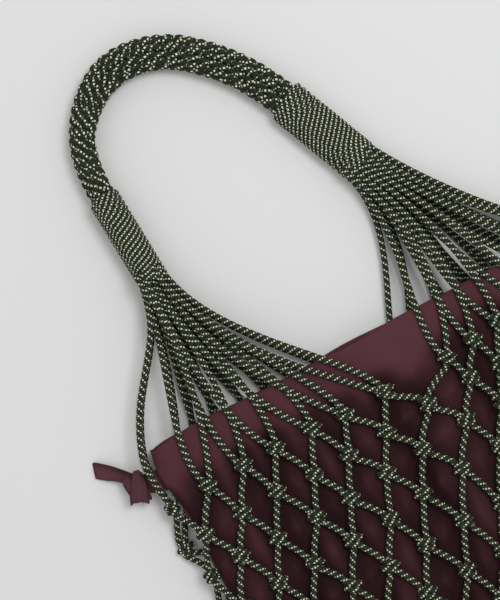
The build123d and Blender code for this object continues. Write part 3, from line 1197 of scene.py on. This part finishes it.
def band_loop(centre, turn, reach, height, top_width, bottom_width, corner=0.0):
    """A closed loop of ribbon round the knot, with its cloth drawn out to corners at the low end. Its tones
    are painted shade, darker at its edges and in its creases.
    """
    long_way = knot_up * cos(turn) + knot_right * sin(turn)
    wide_way = knot_right * cos(turn) - knot_up * sin(turn)
    around, across = 56, 13
    points, painted_shading = [], []
    for layer in (1.0, -1.0):
        for step in range(around):
            angle = TURN * step / around
            low = (1 - cos(angle)) / 2
            width = (top_width + (bottom_width - top_width) * low**0.8) * (1 - 0.12 * low**8)
            for column in range(across):
                u = 2 * column / (across - 1) - 1
                crease = cos(2.3 * pi * u + 1.2 * angle + 0.6)
                tuck = 1.9 * u * u * (1.3 - low) + 0.35 * crease
                drawn_out = corner * low**3 * (u * u - 0.3)
                size = 1 + (drawn_out - tuck + layer * 0.6) / reach
                flat = 1 - (tuck - layer * 0.6) / height
                points.append(centre + long_way * cos(angle) * reach * size
                              + upward * sin(angle) * height * flat
                              + wide_way * (u * width / 2 + 0.6 * sin(angle)))
                # Painted shade: darker at the band's edges and in its creases.
                painted_shading.append(0.80 - 0.6 * abs(u) ** 5 - 0.3 * max(0.0, crease) ** 2 * (1.1 - low))
    number = np.arange(2 * around * across).reshape(2, around, across)
    outer, inner = number
    outer_next, inner_next = np.roll(outer, -1, axis=0), np.roll(inner, -1, axis=0)
    quads = [
        np.stack([outer[:, :-1], outer[:, 1:], outer_next[:, 1:], outer_next[:, :-1]], -1),
        np.stack([inner[:, :-1], inner_next[:, :-1], inner_next[:, 1:], inner[:, 1:]], -1),
        np.stack([outer[:, :1], outer_next[:, :1], inner_next[:, :1], inner[:, :1]], -1),
        np.stack([outer[:, -1:], inner[:, -1:], inner_next[:, -1:], outer_next[:, -1:]], -1),
    ]
    return np.array(points), np.vstack([part.reshape(-1, 4) for part in quads]), painted_shading


def knot_core(centre, sizes):
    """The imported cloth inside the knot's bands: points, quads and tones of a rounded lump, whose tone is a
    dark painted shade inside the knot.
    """
    around, rows = 24, 14
    points = []
    for row in range(rows):
        rise = pi * (row + 0.5) / rows - pi / 2
        for step in range(around):
            angle = TURN * step / around
            points.append(centre + knot_right * cos(rise) * cos(angle) * sizes[0]
                          + knot_up * sin(rise) * sizes[1]
                          + upward * cos(rise) * sin(angle) * sizes[2])
    return np.array(points), ring_faces(rows, around, turned=True), [0.3] * len(points)


def make_knot():
    """The drawstring's knot: bands of ribbon round a core of packed cloth."""
    centre = np.array([knot_x, knot_y, knot_z])
    parts = [
        knot_core(centre + knot_right * 0.2, (5.6, 9.5, 4.4)),
        band_loop(centre - knot_right * 1.7 - knot_up * 0.3, -0.10, 12.0, 6.6, 7.5, 16.0, 2.6),
        band_loop(centre + knot_right * 1.2 - knot_up * 1.8, -0.40, 9.6, 5.0, 6.0, 9.0, 0.6),
        band_loop(centre - knot_right * 6.0 - knot_up * 2.4, -0.60, 9.6, 4.6, 8.0, 9.0, 0.6),
    ]
    points, quads = gathered([part[:2] for part in parts])
    painted_shading = [shade for part in parts for shade in part[2]]
    return make_cloth("drawstring_knot_folds", points, quads, ["drawstring_knot"], drawstring_kind, painted_shading)


drawstring_knot = make_knot()
upper_tail, upper_line = make_tail("drawstring_upper_tail", 17.3, 8.5, 3.4, 0.0, -2.5)
lower_tail, lower_line = make_tail("drawstring_lower_tail", 13.3, 6.5, 1.4, -1.5, 4.0)


for tail, line, knots in ((upper_tail, upper_line, [drawstring_knot]), (lower_tail, lower_line, [])):
    placed = put_in_frame(line)


# ---------- floor, light and camera

floor_half = 6.0
floor_corners = [(x * floor_half, y * floor_half, 0) for x, y in ((-1, -1), (1, -1), (1, 1), (-1, 1))]
floor_mesh = bpy.data.meshes.new("floor")
floor_mesh.from_pydata(floor_corners, [], [(0, 1, 2, 3)])
floor = add_object("floor", floor_mesh)
floor_material, _ = new_material("pale_floor", (0.74, 0.74, 0.74), 0.9)
floor_mesh.materials.append(floor_material)

world = bpy.data.worlds.new("studio")
bpy.context.scene.world = world
world.use_nodes = True
set_inputs(world.node_tree.nodes["Background"], {"Color": (1, 1, 1, 1), "Strength": 0.60})

view_centre = Vector((-0.080, mouth_y + 0.0634, 0.015))
picture_right = Vector(knot_right).normalized()
picture_up = Vector(knot_up).normalized()


def area_light(name, side, height, size, power):
    """A soft light that faces the middle of the view."""
    light = bpy.data.lights.new(name, "AREA")
    light.shape = "DISK"
    light.size = size
    light.energy = power
    lamp = add_object(name, light)
    lamp.location = view_centre + side + Vector(upward) * height
    lamp.rotation_euler = (view_centre - lamp.location).to_track_quat("-Z", "Y").to_euler()


area_light("key", picture_right * 0.5 + picture_up * 0.5, 1.8, 0.8, 15)
area_light("fill", picture_right * -1.2 + picture_up * 0.3, 1.9, 1.6, 3)

camera_data = bpy.data.cameras.new("camera")
camera = add_object("camera", camera_data)
bpy.context.scene.camera = camera
camera_data.lens = 100
camera_data.sensor_width = 36
picture_height = 0.450
distance = picture_height * camera_data.lens / camera_data.sensor_width
camera.location = view_centre + Vector(upward) * distance
camera.rotation_euler = Matrix((picture_right, picture_up, upward)).transposed().to_euler()
bpy.context.scene.view_settings.view_transform = "Standard"
